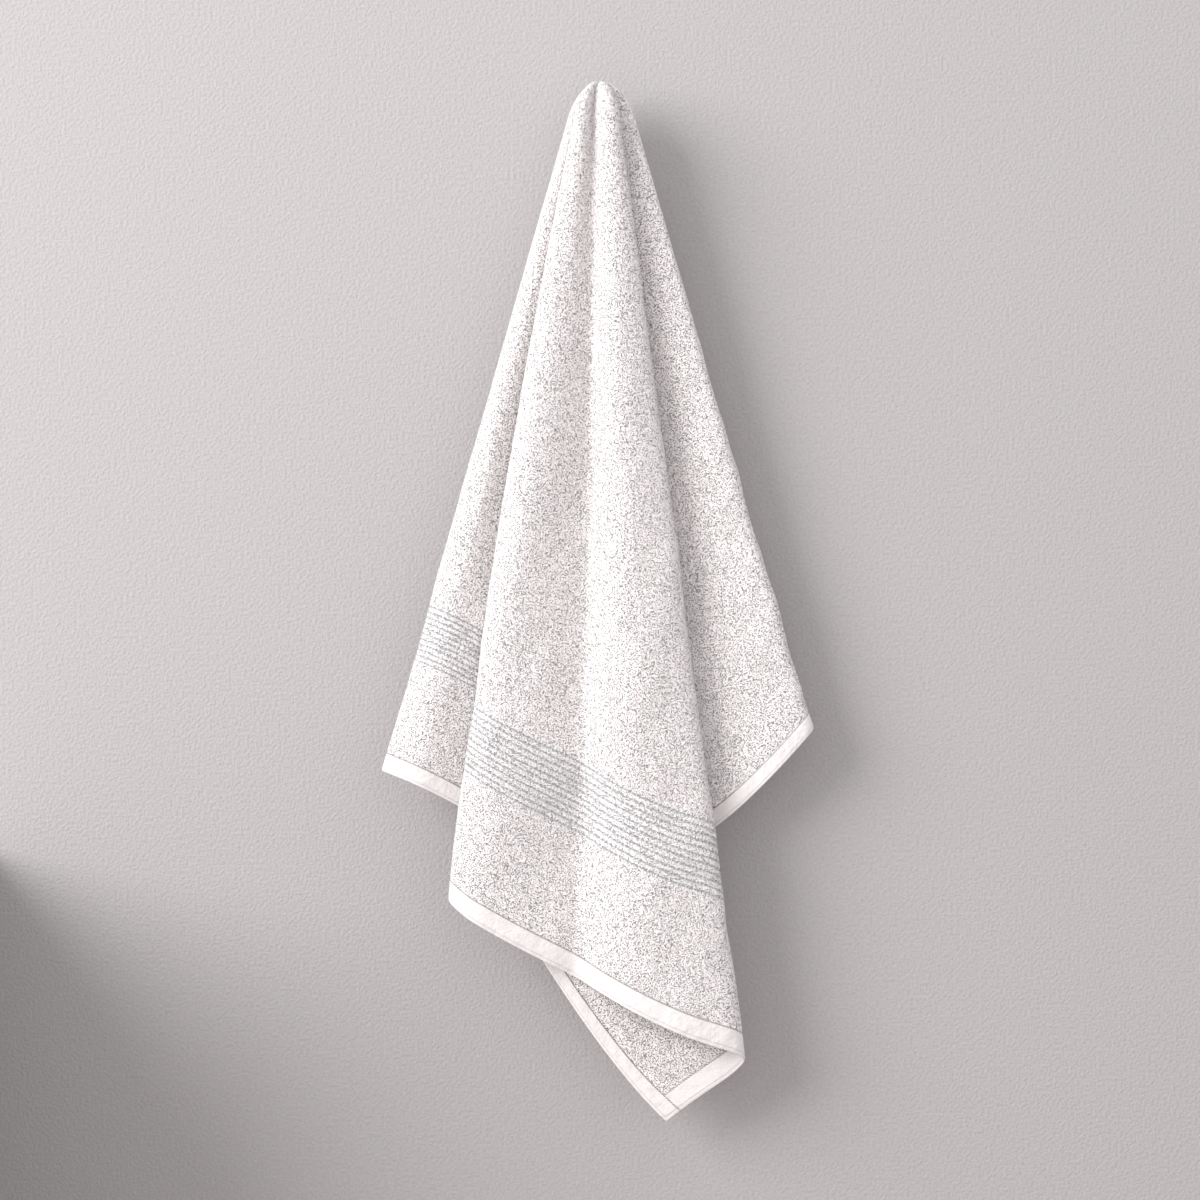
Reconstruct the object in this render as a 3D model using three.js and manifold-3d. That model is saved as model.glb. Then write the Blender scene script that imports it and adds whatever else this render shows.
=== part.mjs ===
// A bath sheet hung on a wall hook by the middle of one long edge.
// Millimetres, +Z up. The origin is the centre of the hook plate's back, on the wall plane y = 0.
// The front faces -Y, and every piece lies in front of the wall, at y < 0.
// In the tables below, "drop" is the distance down from the top of the cloth and "out" is the
// distance from the wall towards the viewer.
import * as THREE from "three";
import { mergeVertices } from "three/addons/utils/BufferGeometryUtils.js";
import Module from "manifold-3d";

const wasm = await Module();
wasm.setup();

// The cloth as it was cut, seen from the point that hangs on the hook
const HALF_LENGTH = 900; // from the hanging point to either end hem
const TO_FAR_EDGE = 855; // from the hanging point to the long edge that hangs free
const TO_NEAR_EDGE = 45; // from the hanging point to the long edge behind the hook
const WIDTH = TO_FAR_EDGE + TO_NEAR_EDGE;
const THICK = 3; // of the hanging cloth
const THICK_TOP = 2; // where it is gathered and pressed together below the hook

// The hook
const PLATE_RADIUS = 25;
const PLATE_DEPTH = 8;
const BAR_RADIUS = 5;
const BALL_RADIUS = 11;
const BALL_OUT = 58; // from the wall to the ball's centre
const BALL_HEIGHT = 34; // of the ball's centre above the plate's centre
const PLATE_EDGE = 1.5; // the bevel round the plate's front
const PIECE_GAP = 0.3; // between pieces that touch: ball and cloth, plate and arm
// The bar's centre line, as distances from the wall and heights above the plate's centre
const BAR_PATH = [
  [PLATE_DEPTH + PIECE_GAP, 0],
  [14, 0],
  [24, -4],
  [35, -11],
  [47, -12],
  [56, -2],
  [BALL_OUT, 12],
  [BALL_OUT, BALL_HEIGHT],
];
const BALL_SEGMENTS = 20;
const BAR_STEPS = 20;

const CLOTH_TOP = BALL_HEIGHT + BALL_RADIUS + PIECE_GAP + THICK; // height of the cloth's top

// The drops between which the tables below give "top" and "low" places
const TOP_DROP = 60;
const LOW_DROP = 1000;
const SPREAD_DROP = 520; // by this drop the layers have opened out to their "low" distances
const FULL_DROP = 260; // by this drop the cloth has its full thickness

// Lines that run down the cloth from the hook to its hem, in order along the hem. A fold has one
// line on each of its two sides. "hem" is the distance along the edge of the cloth, from the
// corner behind the left panel round to the other hidden corner. "hang" is the line's length
// against the flat cloth's. "x" is to the right, and "bow" moves the line's middle.
const LINE_COLUMNS = ["name", "hem", "hang", "xTop", "xLow", "bow", "outTop", "outLow"];
const DRAWN_LINES = [
  ["long edge, striped half", 0, 0.95, -10, -225, 0, 34, 56],
  ["back of left panel", 50, 0.955, -27, -270, 0, 42, 58],
  ["left fold, back", 92, 0.967, -40, -307, 0, 56, 62],
  ["left fold, front", 104, 0.966, -40, -307, 0, 74, 78],
  ["left panel", 148, 0.965, -36, -260, 0, 88, 96],
  ["left panel, tucked in", 214, 0.972, -27, -182, -6, 88, 72],
  ["hidden pleat, back", 288, 1.0, -16, -84, 0, 94, 77],
  ["hidden pleat, front", 300, 1.0, -16, -84, 0, 98.4, 88],
  ["front left fold, back", 376, 1.043, -30, -181, -10, 98.4, 88],
  ["front left fold, front", 388, 1.043, -30, -181, -10, 105, 102],
  ["left ridge", 418, 1.047, -25, -153, -4, 112, 118],
  ["left flank", 482, 1.046, -15, -92, -2, 113, 109],
  ["front valley, left", 554, 1.042, -8, -29, 4, 97, 86],
  ["front valley, right", 566, 1.042, -4.5, -18, 4, 97, 86],
  ["main ridge", 622, 1.043, 6, 32, -2, 115, 125],
  ["right shoulder", 695, 1.04, 20, 96, -2, 113, 114],
  ["front right fold, front", 772, 1.024, 27, 153, -1, 105, 100],
  ["front right fold, back", 800, 1.02, 27, 153, -1, 92, 76],
  ["lowest corner", 900, 1.014, 14, 59, 0, 91, 74],
  ["inner fold, front", 1180, 0.978, -12, -84, 0, 91, 74],
  ["inner fold, back", 1210, 0.978, -12, -84, 0, 86.4, 61],
  ["right panel, behind the fold", 1440, 1.004, 27, 132, 0, 84, 55],
  ["right panel", 1560, 0.979, 40, 236, 0, 85, 74],
  ["right fold, front", 1650, 0.95, 48, 327, -3, 79, 72],
  ["right fold, back", 1674, 0.948, 48, 327, -3, 66, 46],
  ["second layer", 1890, 0.95, 24, 110, 0, 82, 47],
  ["second left fold, front", 2150, 0.965, -19, -166, 0, 82, 50],
  ["second left fold, back", 2175, 0.965, -19, -166, 0, 77.6, 40],
  ["third layer", 2450, 0.965, -8, -20, 0, 77.6, 37],
  ["hidden corner", 2700, 0.965, 2, 76, 0, 77.6, 41],
  ["second right fold, front", 2760, 0.965, 10, 130, 0, 77.6, 40],
  ["second right fold, back", 2785, 0.965, 10, 130, 0, 73.2, 29],
  ["fourth layer", 2990, 0.965, -4, -10, 0, 73.2, 29],
  ["third left fold, front", 3190, 0.965, -17, -164, 0, 73.2, 29],
  ["third left fold, back", 3210, 0.965, -17, -164, 0, 68.6, 17],
  ["last layer", 3370, 0.965, 4, -30, 0, 68, 19],
  ["last layer, right", 3480, 0.965, 26, 92, 0, 58, 13],
  ["long edge, plain half", 3600, 0.965, 10, 184, 0, 34, 18],
].map((row) => Object.fromEntries(row.map((value, i) => [LINE_COLUMNS[i], value])));
const ROLL = 1.2; // a helping line on each side of a fold, this many gaps from it, keeps it round
const LINES = withRoundFolds(DRAWN_LINES);

const COLUMNS_BETWEEN_LINES = 2;
const NORMAL_STEP = 0.02; // in lines, to each side, for the cloth's direction at a place
const FREE_ROWS = 4; // rows between the last shared drop and the hem
const PASSES = 40; // of each search by trial
const SHARED_DROPS = [36, 52, 72, 102, 142, 194, 260, 344, 440, 545, 655];

// The crown: the gathered mass of cloth over the ball, down to where the layers part
const CROWN_DROP = 40;
const CROWN_CENTRE = { x: 1, out: 62 };
const CROWN_DROPS = [40, 33, 26, 19, 13, 8, 4, 1.5];
const CROWN_COVER = 0.9; // how far the crown stands out past the layers that it holds
const SOCKET_CLEARANCE = 2.4; // round the ball, below the top where the cloth rests
const SOCKET_DEPTH = 60; // of the space below the ball, past the crown's foot
const CROWN_SIDES = 56;
// The lines that lie on the outside of the bundle at the crown's foot
const CROWN_LINES = [
  "long edge, striped half",
  "back of left panel",
  "left fold, back",
  "left fold, front",
  "left panel",
  "front left fold, back",
  "front left fold, front",
  "left ridge",
  "left flank",
  "front valley, left",
  "front valley, right",
  "main ridge",
  "right shoulder",
  "front right fold, front",
  "right panel",
  "right fold, front",
  "right fold, back",
  "last layer, right",
  "long edge, plain half",
];

const clothColour = 0xf4f1f0;
const steelColour = 0xb9bbbd;

// The drawn lines, with a helping line next to each side of each fold
function withRoundFolds(lines) {
  const isFold = (i) => lines[i + 1] && lines[i].xLow === lines[i + 1].xLow;
  const helper = (from, to, otherSide) => {
    const gap = Math.abs(to.outLow - otherSide.outLow);
    const share = 1 - (ROLL * gap) / Math.abs(to.xLow - from.xLow);
    const between = (key) => THREE.MathUtils.lerp(from[key], to[key], share);
    return Object.fromEntries(
      LINE_COLUMNS.map((key) => [key, key === "name" ? `${to.name}, side` : between(key)]),
    );
  };
  return lines.flatMap((line, i) => {
    if (isFold(i)) return [helper(lines[i - 1], line, lines[i + 1]), line];
    if (i > 0 && isFold(i - 1)) return [line, helper(lines[i + 1], line, lines[i - 1])];
    return [line];
  });
}

// Uniform cubic B-spline weights of four neighbouring rows, at f from 0 to 1 between the middle two
function splineWeights(f) {
  const g = 1 - f;
  return [
    (g * g * g) / 6,
    (3 * f ** 3 - 6 * f ** 2 + 4) / 6,
    (3 * g ** 3 - 6 * g ** 2 + 4) / 6,
    (f * f * f) / 6,
  ];
}

// The value at place s, counted in lines, of a quantity known on each line. The curve starts and
// ends on the first and last lines.
function along(values, s) {
  const last = values.length - 1;
  const start = Math.min(Math.floor(s), last - 1);
  const value = (i) => {
    if (i < 0) return 2 * values[0] - values[1];
    if (i > last) return 2 * values[last] - values[last - 1];
    return values[i];
  };
  return splineWeights(s - start).reduce((sum, w, k) => sum + w * value(start - 1 + k), 0);
}

function lineX(line, drop) {
  const f = (drop - TOP_DROP) / (LOW_DROP - TOP_DROP);
  const inside = THREE.MathUtils.clamp(f, 0, 1);
  return line.xTop + f * (line.xLow - line.xTop) + 4 * line.bow * inside * (1 - inside);
}

function lineOut(line, drop) {
  const f = THREE.MathUtils.smoothstep(drop, TOP_DROP, SPREAD_DROP);
  return line.outTop + f * (line.outLow - line.outTop);
}

// The middle of the cloth at place s and a drop, as x and out
function sectionPoint(s, drop) {
  return {
    x: along(LINES.map((line) => lineX(line, drop)), s),
    out: along(LINES.map((line) => lineOut(line, drop)), s),
  };
}

function hemAt(s) {
  return along(LINES.map((line) => line.hem), s);
}

// Flat distance from the hanging point to the cloth's edge at a distance along the hem
function reach(hem) {
  const farCorner = WIDTH;
  const hiddenCorner = WIDTH + 2 * HALF_LENGTH;
  if (hem <= farCorner) return Math.hypot(HALF_LENGTH, hem - TO_NEAR_EDGE);
  if (hem <= hiddenCorner) return Math.hypot(TO_FAR_EDGE, HALF_LENGTH - (hem - farCorner));
  return Math.hypot(HALF_LENGTH, TO_FAR_EDGE - (hem - hiddenCorner));
}

// The drop at which the line at place s meets the hem
function hemDrop(s) {
  const length = reach(hemAt(s)) * along(LINES.map((line) => line.hang), s);
  let drop = length;
  for (let pass = 0; pass < PASSES; pass++) {
    drop = Math.sqrt(length ** 2 - sectionPoint(s, drop).x ** 2);
  }
  return drop;
}

// The places of the grid's columns, with one exactly on each of the two free corners
function columnPlaces() {
  const places = [];
  const spans = LINES.length - 1;
  for (let i = 0; i <= spans * COLUMNS_BETWEEN_LINES; i++) places.push(i / COLUMNS_BETWEEN_LINES);
  for (const corner of [WIDTH, WIDTH + 2 * HALF_LENGTH]) {
    let low = 0;
    let high = spans;
    for (let pass = 0; pass < PASSES; pass++) {
      const middle = (low + high) / 2;
      if (hemAt(middle) < corner) low = middle;
      else high = middle;
    }
    const nearest = places.reduce((a, b) => (Math.abs(b - low) < Math.abs(a - low) ? b : a));
    places[places.indexOf(nearest)] = low;
  }
  return places;
}

function toSpace(x, out, drop) {
  return new THREE.Vector3(x, -out, CLOTH_TOP - drop);
}

function solidFrom(points, triangles) {
  const geometry = new THREE.BufferGeometry();
  geometry.setAttribute("position", new THREE.Float32BufferAttribute(points.flatMap((p) => [...p]), 3));
  geometry.setIndex(triangles.flat());
  return solidOf(geometry);
}

function solidOf(geometry) {
  geometry.deleteAttribute("normal");
  geometry.deleteAttribute("uv");
  const merged = mergeVertices(geometry, 1e-3);
  return new wasm.Manifold(
    new wasm.Mesh({
      numProp: 3,
      vertProperties: merged.attributes.position.array,
      triVerts: new Uint32Array(merged.index.array),
    }),
  );
}

function geometryOf(solid) {
  const mesh = solid.getMesh();
  const geometry = new THREE.BufferGeometry();
  geometry.setAttribute("position", new THREE.BufferAttribute(mesh.vertProperties, 3));
  geometry.setIndex(new THREE.BufferAttribute(mesh.triVerts, 1));
  geometry.computeVertexNormals();
  return geometry;
}

// The hanging sheet, from just inside the crown down to the hems, as a thickened grid
function hangingSheet() {
  const places = columnPlaces();
  const rowCount = SHARED_DROPS.length + FREE_ROWS;
  const drops = places.map((s) => {
    const lastShared = SHARED_DROPS[SHARED_DROPS.length - 1];
    const free = hemDrop(s) - lastShared;
    const rows = [...SHARED_DROPS];
    for (let k = 1; k <= FREE_ROWS; k++) rows.push(lastShared + (free * k) / FREE_ROWS);
    return rows;
  });
  const middle = (s, drop) => {
    const p = sectionPoint(s, drop);
    return toSpace(p.x, p.out, drop);
  };
  const front = [];
  const back = [];
  places.forEach((s, c) => {
    const s0 = Math.max(s - NORMAL_STEP, 0);
    const s1 = Math.min(s + NORMAL_STEP, LINES.length - 1);
    drops[c].forEach((drop) => {
      const across = middle(s1, drop).sub(middle(s0, drop));
      const down = middle(s, drop + 1).sub(middle(s, drop - 1));
      const normal = across.cross(down).normalize();
      const half = thickness(drop) / 2;
      const centre = middle(s, drop);
      front.push(centre.clone().addScaledVector(normal, -half));
      back.push(centre.clone().addScaledVector(normal, half));
    });
  });
  const points = [...front, ...back];
  const triangles = [];
  const backStart = front.length;
  const at = (c, r) => c * rowCount + r;
  const quad = (a, b, c, d) => triangles.push([a, b, c], [a, c, d]);
  for (let c = 0; c + 1 < places.length; c++) {
    for (let r = 0; r + 1 < rowCount; r++) {
      const corners = [at(c, r), at(c, r + 1), at(c + 1, r + 1), at(c + 1, r)];
      quad(...corners);
      quad(...corners.map((i) => i + backStart).reverse());
    }
  }
  const rim = [];
  for (let c = 0; c < places.length; c++) rim.push(at(c, 0));
  for (let r = 1; r < rowCount; r++) rim.push(at(places.length - 1, r));
  for (let c = places.length - 2; c >= 0; c--) rim.push(at(c, rowCount - 1));
  for (let r = rowCount - 2; r > 0; r--) rim.push(at(0, r));
  rim.forEach((a, i) => {
    const b = rim[(i + 1) % rim.length];
    quad(a, b, b + backStart, a + backStart);
  });
  return solidFrom(points, triangles);
}

function thickness(drop) {
  return THICK_TOP + (THICK - THICK_TOP) * THREE.MathUtils.smoothstep(drop, TOP_DROP, FULL_DROP);
}

// The outline of the gathered cloth at the crown's foot
function crownOutline() {
  const outside = LINES.filter((line) => CROWN_LINES.includes(line.name.replace(", side", "")));
  return outside.map((line) => ({
    x: lineX(line, CROWN_DROP),
    out: lineOut(line, CROWN_DROP),
  }));
}

function closedSpline(corners, f) {
  const n = corners.length;
  const s = f * n;
  const start = Math.floor(s);
  const weights = splineWeights(s - start);
  const sum = (key) =>
    weights.reduce((total, w, k) => total + w * corners[(start - 1 + k + n) % n][key], 0);
  return { x: sum("x"), out: sum("out") };
}

function crown() {
  const corners = crownOutline();
  const points = [];
  const triangles = [];
  for (const drop of CROWN_DROPS) {
    const share = Math.sqrt(1 - ((CROWN_DROP - drop) / CROWN_DROP) ** 2);
    for (let i = 0; i < CROWN_SIDES; i++) {
      const p = closedSpline(corners, i / CROWN_SIDES);
      const dx = p.x - CROWN_CENTRE.x;
      const dOut = p.out - CROWN_CENTRE.out;
      const grow = 1 + (THICK_TOP / 2 + CROWN_COVER) / Math.hypot(dx, dOut);
      points.push(
        toSpace(CROWN_CENTRE.x + dx * grow * share, CROWN_CENTRE.out + dOut * grow * share, drop),
      );
    }
  }
  const foot = points.length;
  points.push(toSpace(CROWN_CENTRE.x, CROWN_CENTRE.out, CROWN_DROPS[0]));
  const top = points.length;
  points.push(toSpace(CROWN_CENTRE.x, CROWN_CENTRE.out, 0));
  const ringStart = (r) => r * CROWN_SIDES;
  const lastRing = ringStart(CROWN_DROPS.length - 1);
  for (let i = 0; i < CROWN_SIDES; i++) {
    const j = (i + 1) % CROWN_SIDES;
    triangles.push([foot, j, i], [top, lastRing + i, lastRing + j]);
    for (let r = 0; r + 1 < CROWN_DROPS.length; r++) {
      const a = ringStart(r);
      const b = ringStart(r + 1);
      triangles.push([a + i, b + j, b + i], [a + i, a + j, b + j]);
    }
  }
  return solidFrom(points, triangles);
}

// A ball on the hook's end, its centre at a height above the plate's centre
function ballAt(radius, height) {
  const ball = new THREE.SphereGeometry(radius, BALL_SEGMENTS, 12).rotateX(Math.PI / 2);
  return ball.translate(0, -BALL_OUT, height);
}

// The space in the crown for the hook's ball and the bar below it
function socket() {
  const radius = BALL_RADIUS + SOCKET_CLEARANCE;
  const height = BALL_HEIGHT + BALL_RADIUS + PIECE_GAP - radius;
  const well = new THREE.CylinderGeometry(radius, radius, SOCKET_DEPTH, BALL_SEGMENTS);
  well.rotateX(Math.PI / 2).translate(0, -BALL_OUT, height - SOCKET_DEPTH / 2);
  return solidOf(ballAt(radius, height)).add(solidOf(well));
}

function towel() {
  const material = new THREE.MeshStandardMaterial({ color: clothColour, roughness: 0.95 });
  const solid = crown().subtract(socket()).add(hangingSheet()).simplify(0.02);
  const mesh = new THREE.Mesh(geometryOf(solid), material);
  mesh.name = "towel";
  return mesh;
}

function steel() {
  return new THREE.MeshStandardMaterial({ color: steelColour, roughness: 0.35, metalness: 1 });
}

function hookPlate() {
  const profile = [
    [0, 0],
    [PLATE_RADIUS, 0],
    [PLATE_RADIUS, PLATE_DEPTH - PLATE_EDGE],
    [PLATE_RADIUS - PLATE_EDGE, PLATE_DEPTH],
    [0, PLATE_DEPTH],
  ].map(([r, h]) => new THREE.Vector2(r, h));
  const mesh = new THREE.Mesh(new THREE.LatheGeometry(profile, 48), steel());
  mesh.name = "hook_plate";
  mesh.rotation.x = Math.PI;
  return mesh;
}

// The bent bar runs out from the plate, dips, and rises to the ball
function hookArm() {
  const path = new THREE.CatmullRomCurve3(
    BAR_PATH.map(([out, height]) => new THREE.Vector3(0, -out, height)),
  );
  const section = new THREE.Shape().absarc(0, 0, BAR_RADIUS, 0, 2 * Math.PI);
  const bar = new THREE.ExtrudeGeometry(section, {
    steps: BAR_STEPS,
    curveSegments: 7,
    extrudePath: path,
  });
  const ball = ballAt(BALL_RADIUS, BALL_HEIGHT);
  const mesh = new THREE.Mesh(geometryOf(solidOf(bar).add(solidOf(ball))), steel());
  mesh.name = "hook_arm";
  return mesh;
}

const bathSheetOnHook = new THREE.Group();
bathSheetOnHook.add(towel(), hookPlate(), hookArm());
export default bathSheetOnHook;
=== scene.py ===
# A white terry bath sheet hung over a wall hook, seen from straight in front.
# The cloth is one sheet. Its folds come from a table of lines that run down it from the hook, like
# the lines of its CAD solid. The drop is the distance down from the top of the cloth, and out is
# the distance from the wall towards the viewer. Sizes of the cloth are in millimetres.
import math
import bpy
import numpy as np
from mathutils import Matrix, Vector


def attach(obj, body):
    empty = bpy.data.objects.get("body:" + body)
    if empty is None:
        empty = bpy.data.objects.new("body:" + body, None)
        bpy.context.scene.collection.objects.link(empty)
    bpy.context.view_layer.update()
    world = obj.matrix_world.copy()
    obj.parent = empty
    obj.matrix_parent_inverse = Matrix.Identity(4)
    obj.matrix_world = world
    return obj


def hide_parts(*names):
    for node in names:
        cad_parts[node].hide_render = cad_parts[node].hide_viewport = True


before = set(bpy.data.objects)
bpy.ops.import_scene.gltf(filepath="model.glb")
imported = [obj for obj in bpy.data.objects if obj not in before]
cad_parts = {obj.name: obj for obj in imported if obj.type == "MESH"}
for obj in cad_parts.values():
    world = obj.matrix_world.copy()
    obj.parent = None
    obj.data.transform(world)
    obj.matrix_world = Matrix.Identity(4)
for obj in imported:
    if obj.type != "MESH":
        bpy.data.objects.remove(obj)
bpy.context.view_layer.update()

MM = 0.001
PER_METRE = 1000.0  # millimetres

# The cloth as it was cut, seen from the point that hangs on the hook
HALF_LENGTH = 900.0
TO_FAR_EDGE = 855.0
TO_NEAR_EDGE = 45.0
WIDTH = TO_FAR_EDGE + TO_NEAR_EDGE
LENGTH = 2 * HALF_LENGTH
REVERSE_SHIFT = 4000.0  # added to the layout of the cloth's reverse, to tell its two faces apart
CLOTH_TOP = 48.3  # above the hook plate's centre

# Terry with its pile, and where it is pressed together at the hook
THICK = 3.4
THICK_TOP = 1.5
FULL_PILE_DROP = 260.0

# Drops that the table of lines refers to
TOP_DROP = 60.0  # of x_top, and where the layers begin to spread
LOW_DROP = 1000.0  # of x_low
SPREAD_DROP = 520.0  # where the layers have reached out_low

# The hems are turned twice and lockstitched
END_HEM = 23.0
SIDE_HEM = 21.0
HEM_THICK = 2.6
EDGE_THICK = 1.3
EDGE_ROUND = 2.5  # from the edge to the hem's full thickness
GROOVE_THICK = 1.7  # at the stitching
PILE_STEP = 6.0  # from the stitching to the pile's full thickness
HEM_STITCH = 3.2  # from one stitch to the next
STITCH_INSIDE = 0.4  # from the stitching to the hem's inner edge
TURNED_IN = 3.6  # from the edge to the line where the turned cloth's inner layer ends

# The band of coloured pile stripes, measured from the cross fold at the hook
FIRST_STRIPE = 686.0
STRIPE_PITCH = 6.9
STRIPE_COUNT = 11
STRIPE_LOOP = 5.0  # from one loop to the next along a stripe, coarser than they are

# Lines down the cloth from the hook to its hem, in order along the hem. A fold has one line on each
# of its two sides. hem is the place along the edge, hang the line's length against the flat
# cloth's, x is to the right, bow moves the line's middle, and start is the drop at which a line
# that is tucked in begins.
LINE_COLUMNS = ("hem", "hang", "x_top", "x_low", "bow", "out_top", "out_low", "start")
DRAWN_LINES = [
    ("long edge, striped half", 0, 0.95, -14, -225, 0, 34, 56, 0),
    ("back of left panel", 50, 0.955, -27, -270, 0, 42, 58, 0),
    ("left fold, back", 92, 0.967, -40, -307, 0, 56, 62, 0),
    ("left fold, front", 104, 0.966, -40, -307, 0, 74, 78, 0),
    ("left panel", 148, 0.965, -36, -260, 0, 88, 96, 0),
    ("left panel, tucked in", 214, 0.972, -27, -182, -6, 88, 72, 8),
    ("hidden pleat, back", 288, 1.0, -16, -84, 0, 94, 77, 36),
    ("hidden pleat, front", 300, 1.0, -16, -84, 0, 98.4, 88, 36),
    ("front left fold, back", 376, 1.043, -30, -181, -10, 98.4, 88, 8),
    ("front left fold, front", 388, 1.043, -30, -181, -10, 105, 102, 0),
    ("left ridge", 418, 1.047, -25, -153, -4, 112, 118, 0),
    ("left flank", 482, 1.046, -15, -92, -2, 113, 109, 0),
    ("front valley, left", 554, 1.042, -8, -29, 4, 97, 86, 0),
    ("front valley, right", 566, 1.042, -4.5, -18, 4, 97, 86, 0),
    ("main ridge", 622, 1.043, 6, 32, -2, 115, 125, 0),
    ("right shoulder", 695, 1.04, 20, 96, -2, 113, 114, 0),
    ("front right fold, front", 772, 1.024, 27, 153, -1, 105, 100, 0),
    ("front right fold, back", 800, 1.02, 27, 153, -1, 92, 76, 8),
    ("lowest corner", 900, 1.014, 14, 59, 0, 91, 74, 36),
    ("inner fold, front", 1180, 0.978, -12, -84, 0, 91, 74, 36),
    ("inner fold, back", 1210, 0.978, -12, -84, 0, 86.4, 61, 36),
    ("right panel, behind the fold", 1440, 1.004, 27, 132, 0, 84, 55, 12),
    ("right panel", 1560, 0.979, 40, 236, 0, 85, 74, 0),
    ("right fold, front", 1650, 0.95, 48, 327, -3, 79, 72, 0),
    ("right fold, back", 1674, 0.948, 48, 327, -3, 66, 46, 0),
    ("second layer", 1890, 0.95, 24, 110, 0, 82, 47, 36),
    ("second left fold, front", 2150, 0.965, -19, -166, 0, 82, 50, 36),
    ("second left fold, back", 2175, 0.965, -19, -166, 0, 77.6, 40, 36),
    ("third layer", 2450, 0.965, -8, -20, 0, 77.6, 37, 36),
    ("hidden corner", 2700, 0.965, 2, 76, 0, 77.6, 41, 36),
    ("second right fold, front", 2760, 0.965, 10, 130, 0, 77.6, 40, 36),
    ("second right fold, back", 2785, 0.965, 10, 130, 0, 73.2, 29, 36),
    ("fourth layer", 2990, 0.965, -4, -10, 0, 73.2, 29, 36),
    ("third left fold, front", 3190, 0.965, -17, -164, 0, 73.2, 29, 36),
    ("third left fold, back", 3210, 0.965, -17, -164, 0, 68.6, 17, 36),
    ("last layer", 3370, 0.965, 4, -30, 0, 68, 19, 36),
    ("last layer, right", 3480, 0.965, 31, 92, 0, 57, 13, 0),
    ("long edge, plain half", 3600, 0.965, 12, 184, 0, 34, 18, 0),
]
ROLL = 1.2  # a helping line on each side of a fold, this many gaps from it, keeps it round

# The crown, where the cloth rounds over the ball of the hook
CROWN_DROP = 42.0
CROWN_X = 3.0
CROWN_OUT = 60.0
FIRST_DROP = 0.06  # of the first row, so that the lines don't meet in one point

# Slow unevenness of a hung cloth, which grows in below the crown. Each row is a wave: its size, how
# many go to a metre of width and of length, and its phase.
WAVES = [
    (1.2, 5.1, 1.3, 0.4),
    (0.6, 11.7, 2.9, 2.1),
    (0.35, 19.3, 5.3, 4.4),
    (0.2, 33.0, 9.7, 1.2),
]
WAVE_BEND = 1.7  # radians that a wave wanders sideways on its way down
FIRST_WAVE_DROP = 120.0
FULL_WAVE_DROP = 620.0

# The sheet's columns and rows of faces
COLUMN_STEP = 8.6
LEAST_COLUMNS = 5
BODY_ROWS = 84
BODY_EASE = 1.35  # rows lie closer together near the hook
PILE_ROWS = (PILE_STEP, 3, 1.2, 0)  # from the stitching
HEM_ROWS = (0.86, 0.6, 0.34)  # shares of the hem, from the edge
EDGE_ROWS = (EDGE_ROUND, 1.2, 0.4)  # from the edge
NUDGE = 0.02  # of a line, and of a drop, to find the cloth's directions
SEARCH_STEPS = 12
FINE_PLACES = 40001

# Sizes of the patterns in the materials. The gaps between loops lie about two of LOOP apart.
LOOP = 2.0
CURL = 2.3
SPOT = 1.7  # where a gap is closed
GRAIN = 1.6
THREAD = 1.9
PUCKER = 12.0
PILE_EDGE = 11.0
SHADING = 110.0  # slow change in the white of the pile
BRUSH_WIDTH = 1.1
BRUSH_LENGTH = 16.0
STIPPLE = 3.8

# Inputs and outputs of the Mix node, which share their names
MIX_SHARE, VECTOR_A, VECTOR_B, COLOUR_A, COLOUR_B = 0, 4, 5, 6, 7
VECTOR_MIX = {"out": 1, "data_type": "VECTOR"}
COLOUR_MIX = {"out": 2, "data_type": "RGBA"}


def with_round_folds(lines):
    """The drawn lines as rows of numbers, with a helping line beside each side of each fold."""
    rows = [np.array(line[1:], float) for line in lines]
    x_low = LINE_COLUMNS.index("x_low")
    out_low = LINE_COLUMNS.index("out_low")

    def helper(near, fold, other_side):
        gap = abs(fold[out_low] - other_side[out_low])
        share = 1 - ROLL * gap / abs(fold[x_low] - near[x_low])
        return near + (fold - near) * share

    made = []
    for i, row in enumerate(rows):
        starts = i + 1 < len(rows) and rows[i + 1][x_low] == row[x_low]
        ends = i > 0 and rows[i - 1][x_low] == row[x_low]
        if starts:
            made.append(helper(rows[i - 1], row, rows[i + 1]))
        made.append(row)
        if ends:
            made.append(helper(rows[i + 1], row, rows[i - 1]))
    return np.array(made)


LINES = with_round_folds(DRAWN_LINES)
LAST = len(LINES) - 1


def spline_weights(s):
    """First line and cubic B-spline weights at each place s, counted in lines."""
    start = np.minimum(np.floor(s).astype(int), LAST - 1)
    f = s - start
    g = 1 - f
    weights = np.stack(
        [g**3 / 6, (3 * f**3 - 6 * f**2 + 4) / 6, (3 * g**3 - 6 * g**2 + 4) / 6, f**3 / 6]
    )
    return start, weights


def along(values, s):
    """A quantity that is known on each line, at each place s. Its ends lie on the end lines."""
    padded = np.concatenate(
        [[2 * values[0] - values[1]], values, [2 * values[-1] - values[-2]]]
    )
    start, weights = spline_weights(s)
    return sum(weights[k] * padded[start + k] for k in range(4))


def column(name, s):
    """A column of the table of lines, at each place s."""
    return along(LINES[:, LINE_COLUMNS.index(name)], s)


def smooth(x, low, high):
    """Grows from 0 at low to 1 at high, and is level at both."""
    f = np.clip((x - low) / (high - low), 0, 1)
    return f * f * (3 - 2 * f)


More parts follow.
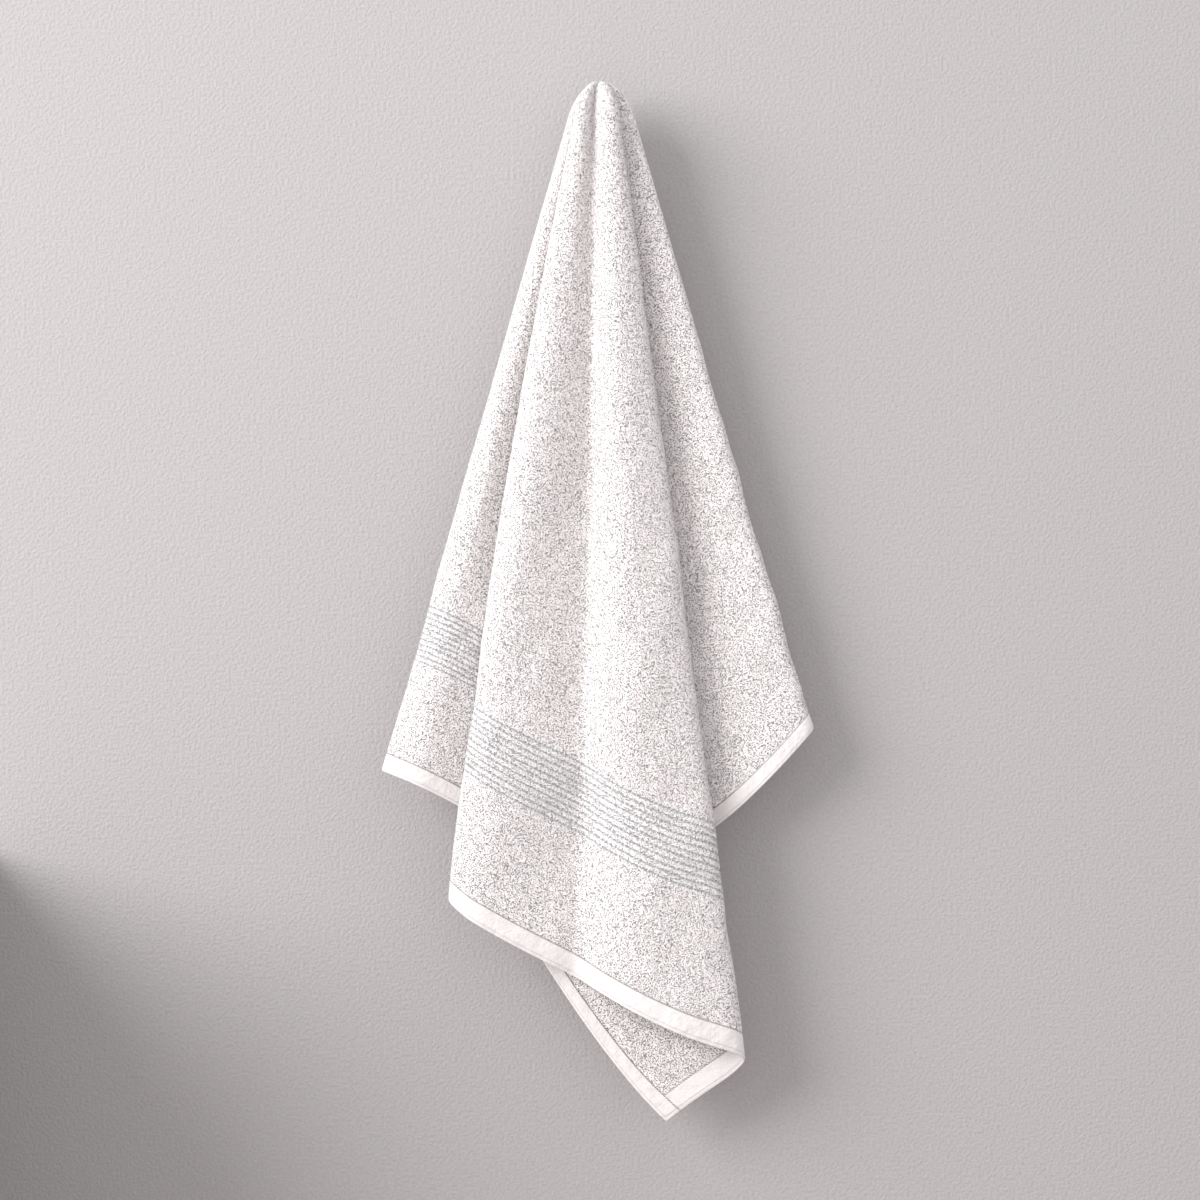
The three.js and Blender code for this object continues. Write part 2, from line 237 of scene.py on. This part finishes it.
def section(s, drop):
    """x and out of the cloth's middle at places s and drops of the same shape."""
    f = (drop - TOP_DROP) / (LOW_DROP - TOP_DROP)
    inside = np.clip(f, 0, 1)
    x_top, x_low = column("x_top", s), column("x_low", s)
    x = x_top + f * (x_low - x_top) + 4 * column("bow", s) * inside * (1 - inside)
    spread = smooth(drop, TOP_DROP, SPREAD_DROP)
    out = column("out_top", s) + spread * (column("out_low", s) - column("out_top", s))
    rounding = 1 - np.clip(drop / CROWN_DROP, 0, 1)
    share = np.sqrt(1 - rounding**2)
    return CROWN_X + (x - CROWN_X) * share, CROWN_OUT + (out - CROWN_OUT) * share


def middle(s, drop):
    """Points in the middle of the cloth's thickness."""
    x, out = section(s, drop)
    return np.stack([x, -out, CLOTH_TOP - drop], -1)


def edge_point(hem):
    """Where a place along the hem lies on the flat cloth: across from the hook, and along."""
    far_corner = WIDTH
    hidden_corner = WIDTH + LENGTH
    across = np.where(
        hem <= far_corner,
        hem - TO_NEAR_EDGE,
        np.where(hem <= hidden_corner, TO_FAR_EDGE, TO_FAR_EDGE - (hem - hidden_corner)),
    )
    length = np.clip(HALF_LENGTH - (hem - far_corner), -HALF_LENGTH, HALF_LENGTH)
    return across, length


def hem_drop(s):
    """The drop at which the line at each place s meets the hem."""
    across, length = edge_point(column("hem", s))
    line = np.hypot(across, length) * column("hang", s)
    drop = line.copy()
    for _ in range(SEARCH_STEPS):
        drop = np.sqrt(line**2 - section(s, drop)[0] ** 2)
    return drop


def column_places():
    """Places of the sheet's columns: close at folds, and exactly on both free corners."""
    hems = LINES[:, LINE_COLUMNS.index("hem")]
    places = []
    for i in range(LAST):
        count = max(LEAST_COLUMNS, int(math.ceil(abs(hems[i + 1] - hems[i]) / COLUMN_STEP)))
        places.extend(i + k / count for k in range(count))
    places = np.array(places + [float(LAST)])
    fine = np.linspace(0, LAST, FINE_PLACES)
    for corner in (WIDTH, WIDTH + LENGTH):
        exact = np.interp(corner, column("hem", fine), fine)
        places[np.argmin(np.abs(places - exact))] = exact
    return places


def row_shares(start, on_end):
    """Rows of the sheet as shares of each line: its pile, the stitching, the hem and its edge."""
    inner = np.where(on_end, END_HEM / HALF_LENGTH, SIDE_HEM / TO_FAR_EDGE)
    step = np.where(on_end, 1 / HALF_LENGTH, 1 / TO_FAR_EDGE)
    ease = (np.arange(BODY_ROWS) / BODY_ROWS) ** BODY_EASE
    rows = [start + (1 - inner - PILE_STEP * step - start) * e for e in ease]
    rows += [1 - inner - k * step for k in PILE_ROWS]
    rows += [1 - inner * k for k in HEM_ROWS]
    rows += [1 - k * step for k in EDGE_ROWS]
    rows += [np.ones_like(start)]
    return np.stack(rows, 1)


def unevenness(across, length, drop):
    """How far the cloth's middle lies off its smooth folds."""
    turn = 2 * math.pi * MM
    total = np.zeros_like(across)
    for size, per_width, per_length, phase in WAVES:
        bend = WAVE_BEND * np.sin(turn * per_length * length)
        total += size * np.sin(turn * per_width * across + phase + bend)
    return total * smooth(drop, FIRST_WAVE_DROP, FULL_WAVE_DROP)


def edge_distances(across, length):
    """Distance from the flat cloth's nearest long edge, and from its nearest end."""
    side = np.minimum(across + TO_NEAR_EDGE, TO_FAR_EDGE - across)
    return side, HALF_LENGTH - np.abs(length)


def thickness(across, length, drop):
    """Pile in the middle, flat double hems, and a groove along the stitching between them."""
    side, end = edge_distances(across, length)
    pressed = THICK_TOP + (THICK - THICK_TOP) * smooth(drop, TOP_DROP, FULL_PILE_DROP)
    into_pile = np.minimum((side - SIDE_HEM) / PILE_STEP, (end - END_HEM) / PILE_STEP)
    body = GROOVE_THICK + (pressed - GROOVE_THICK) * smooth(into_pile, 0, 1)
    into_hem = np.minimum(side, end)
    hem = EDGE_THICK + (HEM_THICK - EDGE_THICK) * smooth(into_hem, 0, EDGE_ROUND)
    return np.where(into_pile > 0, body, np.minimum(hem, np.maximum(pressed, GROOVE_THICK)))


def build_cloth():
    """Points on both sides of the hung cloth, and where each lies on the flat cloth, in metres."""
    places = column_places()
    hem = column("hem", places)
    drop_at_hem = hem_drop(places)
    edge_across, edge_length = edge_point(hem)
    start = column("start", places).clip(FIRST_DROP) / drop_at_hem
    on_end = (hem < WIDTH) | (hem > WIDTH + LENGTH)
    share = row_shares(start, on_end)
    s = np.repeat(places[:, None], share.shape[1], 1)
    drop = share * drop_at_hem[:, None]
    across = share * edge_across[:, None]
    length = share * edge_length[:, None]
    sideways = middle(np.minimum(s + NUDGE, LAST), drop) - middle(np.maximum(s - NUDGE, 0), drop)
    down = middle(s, drop + NUDGE) - middle(s, np.maximum(drop - NUDGE, NUDGE / 2))
    normal = np.cross(sideways, down)
    normal /= np.linalg.norm(normal, axis=-1, keepdims=True)
    centre = middle(s, drop) + normal * unevenness(across, length, drop)[..., None]
    half = thickness(across, length, drop)[..., None] / 2
    sides = np.stack([centre - normal * half, centre + normal * half])
    face = np.stack([across + TO_NEAR_EDGE, length], -1)
    reverse = np.stack([across + TO_NEAR_EDGE + REVERSE_SHIFT, length], -1)
    return sides * MM, np.stack([face, reverse]) * MM


def sheet_mesh(name, sides, flat):
    """A closed sheet from a grid of points on each face of the cloth, with its flat layout as UV."""
    _, columns, rows, _ = sides.shape
    one_side = columns * rows
    grid = np.arange(one_side).reshape(columns, rows)
    other = grid + one_side
    quads = [np.stack([grid[:-1, :-1], grid[:-1, 1:], grid[1:, 1:], grid[1:, :-1]], -1)]
    quads.append(np.stack([other[:-1, :-1], other[1:, :-1], other[1:, 1:], other[:-1, 1:]], -1))
    rim = np.concatenate([grid[:, 0], grid[-1, 1:], grid[-2::-1, -1], grid[0, -2:0:-1]])
    after = np.roll(rim, -1)
    quads.append(np.stack([rim, after, after + one_side, rim + one_side], -1))
    faces = np.concatenate([q.reshape(-1, 4) for q in quads])
    layout = faces.copy()
    layout[-len(rim) :] = np.stack([rim, after, after, rim], -1)
    mesh = bpy.data.meshes.new(name)
    mesh.from_pydata(sides.reshape(-1, 3).tolist(), [], faces.tolist())
    layer = mesh.uv_layers.new(name="flat")
    layer.data.foreach_set("uv", flat.reshape(-1, 2)[layout.ravel()].astype(np.float32).ravel())
    mesh.polygons.foreach_set("use_smooth", [True] * len(faces))
    mesh.update()
    mesh.validate()
    piece = bpy.data.objects.new(name, mesh)
    bpy.context.scene.collection.objects.link(piece)
    return piece


def linear(hex_colour):
    """An sRGB hex value as linear RGBA."""
    channels = [int(hex_colour[i : i + 2], 16) / 255 for i in (1, 3, 5)]
    return [c / 12.92 if c <= 0.04045 else ((c + 0.055) / 1.055) ** 2.4 for c in channels] + [1.0]


def add(tree, kind, sockets=(), out=0, **settings):
    """Adds a node with its settings, sets or links its inputs, and gives back one output.
    A list fills the first inputs in order, and a dictionary gives each input's name or number."""
    node = tree.nodes.new("ShaderNode" + kind)
    for name, value in settings.items():
        setattr(node, name, value)
    pairs = sockets.items() if isinstance(sockets, dict) else enumerate(sockets)
    for key, value in pairs:
        if isinstance(value, bpy.types.NodeSocket):
            tree.links.new(value, node.inputs[key])
        else:
            node.inputs[key].default_value = value
    return node.outputs[out]


def new_material(name):
    """A material with only a shader and its output."""
    material = bpy.data.materials.new(name)
    material.use_nodes = True
    tree = material.node_tree
    tree.nodes.clear()
    shader = add(tree, "BsdfPrincipled").node
    output = tree.nodes.new("ShaderNodeOutputMaterial")
    tree.links.new(shader.outputs[0], output.inputs["Surface"])
    return material, tree, shader, output


def distance_from(tree, value, line):
    """How far a value is from a line, on either side of it."""
    past = add(tree, "Math", [value, line], operation="SUBTRACT")
    return add(tree, "Math", [past], operation="ABSOLUTE")


def cloth_places(tree):
    """Where a point lies on the flat cloth, in millimetres, on which face, and how far it is from
    the nearest long edge and from the nearest end."""
    flat = add(tree, "UVMap", uv_map="flat")
    split = add(tree, "SeparateXYZ", [flat]).node.outputs
    shifted = add(tree, "Math", [split["X"], PER_METRE], operation="MULTIPLY")
    reverse = add(tree, "Math", [shifted, REVERSE_SHIFT / 2], operation="GREATER_THAN")
    width = add(tree, "Math", [reverse, -REVERSE_SHIFT, shifted], operation="MULTIPLY_ADD")
    length = add(tree, "Math", [split["Y"], PER_METRE], operation="MULTIPLY")
    to_far_edge = add(tree, "Math", [WIDTH, width], operation="SUBTRACT")
    from_hook = add(tree, "Math", [length], operation="ABSOLUTE")
    return {
        "flat": flat,
        "solid": add(tree, "TexCoord", out="Object"),
        "reverse": reverse,
        "width": width,
        "length": length,
        "side": add(tree, "Math", [width, to_far_edge], operation="MINIMUM"),
        "end": add(tree, "Math", [HALF_LENGTH, from_hook], operation="SUBTRACT"),
    }


def pile_area(tree, cloth):
    """1 on the pile and 0 on the hems. The pile ends at the hems in an uneven line."""
    place = {"Vector": cloth["solid"], "Scale": PER_METRE / PILE_EDGE, "Detail": 1.0}
    wander = add(tree, "TexNoise", place)
    most = 0.8  # to each side
    wander = add(tree, "Math", [wander, 2 * most, -most], operation="MULTIPLY_ADD")
    side = add(tree, "Math", [cloth["side"], wander], operation="ADD")
    end = add(tree, "Math", [cloth["end"], wander], operation="ADD")
    past_side_hem = add(tree, "Math", [side, SIDE_HEM], operation="SUBTRACT")
    past_end_hem = add(tree, "Math", [end, END_HEM], operation="SUBTRACT")
    past_hem = add(tree, "Math", [past_side_hem, past_end_hem], operation="MINIMUM")
    return add(tree, "Math", [past_hem, 0.5], operation="ADD", use_clamp=True)


def loop_gaps(tree, cloth, pile):
    """Curled gaps between loops, along the middle values of a noise, and the spots where a second
    noise breaks them up."""
    solid = cloth["solid"]
    turn = {"Vector": solid, "Scale": PER_METRE / CURL, "Detail": 0.0}
    turned = add(tree, "TexNoise", turn, out="Color")
    most = 1.2 * MM  # that a loop curls sideways
    warp = {MIX_SHARE: most, VECTOR_A: solid, VECTOR_B: turned}
    warped = add(tree, "Mix", warp, **VECTOR_MIX)
    loops = add(tree, "TexNoise", {"Vector": warped, "Scale": PER_METRE / LOOP, "Detail": 0.6})
    from_middle = distance_from(tree, loops, 0.5)
    # Full in the middle of a gap, and nothing at 0.08 of the noise to each side
    curl = add(tree, "Math", [from_middle, -13.0, 1.05], operation="MULTIPLY_ADD", use_clamp=True)
    spots = add(tree, "TexNoise", {"Vector": solid, "Scale": PER_METRE / SPOT, "Detail": 0.0})
    # Nothing below 0.38 of the noise, and full above 0.58
    broken = add(tree, "Math", [spots, 5.0, -1.9], operation="MULTIPLY_ADD", use_clamp=True)
    gaps = add(tree, "Math", [curl, broken], operation="MULTIPLY")
    return add(tree, "Math", [gaps, pile], operation="MULTIPLY"), broken


def hem_yarn(tree, cloth):
    """Small puckers across the flat hems, and their threads."""
    flat = cloth["flat"]
    folds = {"Vector": flat, "Scale": PER_METRE / PUCKER, "Detail": 2.0, "Roughness": 0.6}
    pucker = add(tree, "TexNoise", folds)
    yarn = {"Vector": flat, "Scale": PER_METRE / THREAD, "Detail": 1.0}
    threads = add(tree, "TexNoise", yarn)
    return pucker, threads


def hem_stitches(tree, cloth):
    """Lockstitching just inside each hem's inner edge. Its dark line is partly painted shade in the
    groove along the stitching. The long hems' stitching runs to the end of the cloth, and the end
    hems' stitching stops at the long hems."""
    turn = add(tree, "Math", [cloth["width"], cloth["length"]], operation="ADD")
    turn = add(tree, "Math", [turn, 2 * math.pi / HEM_STITCH], operation="MULTIPLY")
    wave = add(tree, "Math", [turn], operation="SINE")
    thread = add(tree, "Math", [wave, 0.35, 0.75], operation="MULTIPLY_ADD", use_clamp=True)
    side_line = distance_from(tree, cloth["side"], SIDE_HEM - STITCH_INSIDE)
    end_line = distance_from(tree, cloth["end"], END_HEM - STITCH_INSIDE)
    on_side_hem = add(tree, "Math", [cloth["side"], SIDE_HEM - 1.0], operation="LESS_THAN")
    out_of_reach = 50.0  # too far for the line to show
    end_line = add(tree, "Math", [on_side_hem, out_of_reach, end_line], operation="MULTIPLY_ADD")
    line = add(tree, "Math", [side_line, end_line], operation="MINIMUM")
    # Nothing at 1.3 mm to each side
    line = add(tree, "Math", [line, -0.9, 1.2], operation="MULTIPLY_ADD", use_clamp=True)
    return add(tree, "Math", [line, thread], operation="MULTIPLY")


def turned_in_line(tree, cloth):
    """A faint line of painted shade near the outer edge, where the turned cloth's inner layer ends.
    """
    from_edge = add(tree, "Math", [cloth["side"], cloth["end"]], operation="MINIMUM")
    line = distance_from(tree, from_edge, TURNED_IN)
    return add(tree, "Math", [line, -1.0, 1.0], operation="MULTIPLY_ADD", use_clamp=True)


def pile_stripes(tree, cloth, pile, broken):
    """Eleven thin stripes on the face of the cloth, each a broken row of loops, and their band."""
    before_band = FIRST_STRIPE - STRIPE_PITCH / 2
    pitches = add(tree, "Math", [cloth["length"], before_band], operation="SUBTRACT")
    pitches = add(tree, "Math", [pitches, STRIPE_PITCH], operation="DIVIDE")
    past_first = add(tree, "Math", [pitches, 0.0], operation="GREATER_THAN")
    not_past_last = add(tree, "Math", [pitches, float(STRIPE_COUNT)], operation="LESS_THAN")
    band = add(tree, "Math", [past_first, not_past_last], operation="MULTIPLY")
    on_face = add(tree, "Math", [1.0, cloth["reverse"]], operation="SUBTRACT")
    band = add(tree, "Math", [band, on_face], operation="MULTIPLY")
    most = 0.08  # of a pitch, that a loop stands off its row
    nudge = add(tree, "Math", [broken, 2 * most, -most], operation="MULTIPLY_ADD")
    phase = add(tree, "Math", [pitches, nudge], operation="ADD")
    phase = add(tree, "Math", [phase], operation="FRACT")
    from_line = distance_from(tree, phase, 0.5)
    # Full within 0.06 of a pitch from the row's middle, and nothing at 0.16
    stripe = add(tree, "Math", [from_line, -10.0, 1.6], operation="MULTIPLY_ADD", use_clamp=True)
    loop_turn = add(tree, "Math", [cloth["width"], 2 * math.pi / STRIPE_LOOP], operation="MULTIPLY")
    loop_wave = add(tree, "Math", [loop_turn], operation="SINE")
    loops = add(tree, "Math", [loop_wave, 0.3, 0.7], operation="MULTIPLY_ADD")
    for share in (band, pile, loops):
        stripe = add(tree, "Math", [stripe, share], operation="MULTIPLY")
    return stripe, band


def cotton_terry():
    """White ring-spun cotton, woven as terry with uncut loops, its hems flat and lockstitched.
    Loops give a dry, bright surface broken by small gaps, darkened with painted shade. Real loops
    stand 2 mm apart, too fine to show at this distance, so they are drawn about 4 mm apart. Threads
    are drawn coarser than they are too."""
    material, tree, shader, _ = new_material("white_cotton_terry_woven")
    cloth = cloth_places(tree)
    pile = pile_area(tree, cloth)
    gaps, broken = loop_gaps(tree, cloth, pile)
    pucker, threads = hem_yarn(tree, cloth)
    stitches = hem_stitches(tree, cloth)
    turned_in = turned_in_line(tree, cloth)
    stripe, band = pile_stripes(tree, cloth, pile, broken)
    fewer_gaps = add(tree, "Math", [band, -0.25, 1.0], operation="MULTIPLY_ADD")
    gaps = add(tree, "Math", [gaps, fewer_gaps], operation="MULTIPLY")

    # Warm white pile, and hems that are darker where their puckers and threads lie low: painted
    # shade in their hollows
    shading = {"Vector": cloth["solid"], "Scale": PER_METRE / SHADING, "Detail": 3.0}
    shading = add(tree, "TexNoise", shading)
    loops = {MIX_SHARE: shading, COLOUR_A: linear("#F2ECEB"), COLOUR_B: linear("#F8F3F2")}
    loops = add(tree, "Mix", loops, **COLOUR_MIX)
    thread_height = add(tree, "Math", [threads, 0.45], operation="MULTIPLY")
    # Painted shade: the hem's colour follows the height of its puckers and threads, darker in their
    # hollows
    hem_relief_shade = add(tree, "Math", [pucker, 0.55, thread_height], operation="MULTIPLY_ADD")
    hems = {MIX_SHARE: hem_relief_shade, COLOUR_A: linear("#DAD3D2"), COLOUR_B: linear("#F5F1F0")}
    hems = add(tree, "Mix", hems, **COLOUR_MIX)
    colour = {MIX_SHARE: pile, COLOUR_A: hems, COLOUR_B: loops}
    colour = add(tree, "Mix", colour, **COLOUR_MIX)

    # Painted shade in the gaps between loops, pale blue-grey stripes, the stitching's dark line,
    # which is partly painted shade in its groove, and a faint line of painted shade at the turned
    # edge
    marks = [
        (gaps, 0.8, "#6B5F5E"),
        (stripe, 0.68, "#8FABB5"),
        (stitches, 0.85, "#6A6361"),
        (turned_in, 0.22, "#6A6361"),
    ]
    for mark, most, hex_colour in marks:
        share = add(tree, "Math", [mark, most], operation="MULTIPLY")
        colour = {MIX_SHARE: share, COLOUR_A: colour, COLOUR_B: linear(hex_colour)}
        colour = add(tree, "Mix", colour, **COLOUR_MIX)
    tree.links.new(colour, shader.inputs["Base Color"])

    # Heights in millimetres: the pile's, the bare hem's, and how deep each mark lies
    grain = {"Vector": cloth["solid"], "Scale": PER_METRE / GRAIN, "Detail": 1.0}
    grain = add(tree, "TexNoise", grain)
    pile_height = add(tree, "Math", [grain, 0.5], operation="MULTIPLY")
    pile_height = add(tree, "Math", [gaps, -3.4, pile_height], operation="MULTIPLY_ADD")
    pile_height = add(tree, "Math", [pile_height, pile], operation="MULTIPLY")
    bare = add(tree, "Math", [1.0, pile], operation="SUBTRACT")
    hem_height = add(tree, "Math", [pucker, 2.2, thread_height], operation="MULTIPLY_ADD")
    height = add(tree, "Math", [hem_height, bare, pile_height], operation="MULTIPLY_ADD")
    for mark, depth in ((stripe, 2.8), (stitches, 0.6), (turned_in, 0.35)):
        height = add(tree, "Math", [mark, -depth, height], operation="MULTIPLY_ADD")
    normal = add(tree, "Bump", {"Strength": 0.9, "Distance": MM, "Height": height})
    tree.links.new(normal, shader.inputs["Normal"])

    # Cotton: matt, with a soft sheen from the loops
    shader.inputs["Roughness"].default_value = 0.96
    shader.inputs["IOR"].default_value = 1.5
    shader.inputs["Specular IOR Level"].default_value = 0.2
    shader.inputs["Sheen Weight"].default_value = 0.35
    shader.inputs["Sheen Roughness"].default_value = 0.6
    return material


def brushed_steel():
    """Stainless steel, bent or turned and brushed: a soft, slightly streaked shine."""
    material, tree, shader, _ = new_material("stainless_steel_brushed")
    solid = add(tree, "TexCoord", out="Object")
    streaks = [PER_METRE / size for size in (BRUSH_WIDTH, BRUSH_LENGTH, BRUSH_WIDTH)]
    stretched = add(tree, "Mapping", {"Vector": solid, "Scale": streaks})
    grain = add(tree, "TexNoise", {"Vector": stretched, "Scale": 1.0, "Detail": 2.0})
    colour = {MIX_SHARE: grain, COLOUR_A: linear("#A9AAAB"), COLOUR_B: linear("#C4C5C6")}
    colour = add(tree, "Mix", colour, **COLOUR_MIX)
    tree.links.new(colour, shader.inputs["Base Color"])
    rough = add(tree, "Math", [grain, 0.18, 0.24], operation="MULTIPLY_ADD")
    tree.links.new(rough, shader.inputs["Roughness"])
    normal = add(tree, "Bump", {"Strength": 0.3, "Distance": 0.05 * MM, "Height": grain})
    tree.links.new(normal, shader.inputs["Normal"])
    shader.inputs["Metallic"].default_value = 1.0
    return material


def painted_wall():
    """Matt emulsion rolled on plaster, with a fine stipple. Seen from behind it is clear, so that
    it hides nothing."""
    material, tree, shader, output = new_material("wall_matt_emulsion_rolled")
    solid = add(tree, "TexCoord", out="Object")
    stipple = {"Vector": solid, "Scale": PER_METRE / STIPPLE, "Detail": 2.0}
    stipple = add(tree, "TexNoise", stipple)
    colour = {MIX_SHARE: stipple, COLOUR_A: linear("#A8A4A4"), COLOUR_B: linear("#BDB9B9")}
    colour = add(tree, "Mix", colour, **COLOUR_MIX)
    tree.links.new(colour, shader.inputs["Base Color"])
    normal = add(tree, "Bump", {"Strength": 0.8, "Distance": 1.6 * MM, "Height": stipple})
    tree.links.new(normal, shader.inputs["Normal"])
    shader.inputs["Roughness"].default_value = 0.95
    shader.inputs["Specular IOR Level"].default_value = 0.1
    clear = add(tree, "BsdfTransparent")
    behind = add(tree, "NewGeometry", out="Backfacing")
    mixed = add(tree, "MixShader", [behind, shader.outputs[0], clear])
    tree.links.new(mixed, output.inputs["Surface"])
    return material


def painted_board():
    """Smooth board, painted grey. It is only seen as the shade that it throws on the wall."""
    material, _, shader, _ = new_material("cabinet_board_grey_painted")
    shader.inputs["Base Color"].default_value = linear("#8F8B8A")
    return material


def stage_plane(name, corners, material):
    mesh = bpy.data.meshes.new(name)
    mesh.from_pydata(corners, [], [(0, 1, 2, 3)])
    plane = bpy.data.objects.new(name, mesh)
    plane.data.materials.append(material)
    bpy.context.scene.collection.objects.link(plane)
    return plane


def area_light(name, place, target, size, power):
    data = bpy.data.lights.new(name, "AREA")
    data.shape = "DISK"
    data.size = size
    data.energy = power
    light = bpy.data.objects.new(name, data)
    light.location = place
    light.rotation_euler = (Vector(target) - Vector(place)).to_track_quat("-Z", "Y").to_euler()
    bpy.context.scene.collection.objects.link(light)


# The cloth
sides, flat = build_cloth()
towel = sheet_mesh("bath_sheet", sides, flat)
towel.data.materials.append(cotton_terry())
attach(towel, "root")
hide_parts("towel")

# The hook
steel = brushed_steel()
for node in ("hook_plate", "hook_arm"):
    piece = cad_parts[node]
    piece.data.materials.clear()
    piece.data.materials.append(steel)

# The stage, in metres: the wall, and a floor at a usual height below a bathroom hook
WALL_HALF = 3.2
WALL_TOP = 1.2
FLOOR = -1.75
FLOOR_DEPTH = 4
wall_paint = painted_wall()
wall = stage_plane(
    "wall",
    [
        (-WALL_HALF, 0, FLOOR),
        (WALL_HALF, 0, FLOOR),
        (WALL_HALF, 0, WALL_TOP),
        (-WALL_HALF, 0, WALL_TOP),
    ],
    wall_paint,
)
wall.visible_shadow = False  # lets the light behind it reach the cloth's back
stage_plane(
    "floor",
    [
        (-WALL_HALF, -FLOOR_DEPTH, FLOOR),
        (WALL_HALF, -FLOOR_DEPTH, FLOOR),
        (WALL_HALF, 0, FLOOR),
        (-WALL_HALF, 0, FLOOR),
    ],
    wall_paint,
)

# The side of a low cabinet just left of the picture. It only shades the wall near it, and no
# camera sees it, so that it hides nothing from other sides.
CABINET_SIDE = -0.76
CABINET_TOP = -0.88
CABINET_DEPTH = 0.5
cabinet = stage_plane(
    "cabinet_side",
    [
        (CABINET_SIDE, -CABINET_DEPTH, FLOOR),
        (CABINET_SIDE, 0, FLOOR),
        (CABINET_SIDE, 0, CABINET_TOP),
        (CABINET_SIDE, -CABINET_DEPTH, CABINET_TOP),
    ],
    painted_board(),
)
cabinet.visible_camera = False

# Soft light from the upper left, a dim light behind the wall for the views from behind, and a
# bright room
CLOTH_MIDDLE = (0.0, 0.0, -0.55)
ROOM_LIGHT = 1.03
area_light("window_light", place=(-4.6, -3.3, 1.6), target=CLOTH_MIDDLE, size=4.2, power=385.0)
area_light("back_light", place=(0.4, 1.8, 0.0), target=CLOTH_MIDDLE, size=2.0, power=16.0)
world = bpy.data.worlds.new("room")
world.use_nodes = True
background = world.node_tree.nodes["Background"]
background.inputs["Color"].default_value = linear("#FBFAFB")
background.inputs["Strength"].default_value = ROOM_LIGHT
bpy.context.scene.world = world
bpy.context.scene.view_settings.view_transform = "Standard"

# The camera stands straight in front, far enough back that the cloth shows no strong perspective
MM_PER_PIXEL = 1.2
PHOTO_SIDE = 1200
APEX_PIXEL = (598, 78)  # the top of the cloth
CAMERA_DISTANCE = 4.0  # metres, from the cloth's front
CLOTH_FRONT = 90 * MM  # from the wall
SENSOR = 36.0
picture = PHOTO_SIDE * MM_PER_PIXEL * MM
camera_data = bpy.data.cameras.new("camera")
camera_data.sensor_width = SENSOR
camera_data.lens = SENSOR * CAMERA_DISTANCE / picture
camera = bpy.data.objects.new("camera", camera_data)
camera.location = (
    (PHOTO_SIDE / 2 - APEX_PIXEL[0]) * MM_PER_PIXEL * MM,
    -CAMERA_DISTANCE - CLOTH_FRONT,
    (CLOTH_TOP - (PHOTO_SIDE / 2 - APEX_PIXEL[1]) * MM_PER_PIXEL) * MM,
)
camera.rotation_euler = (math.pi / 2, 0, 0)
bpy.context.scene.collection.objects.link(camera)
bpy.context.scene.camera = camera
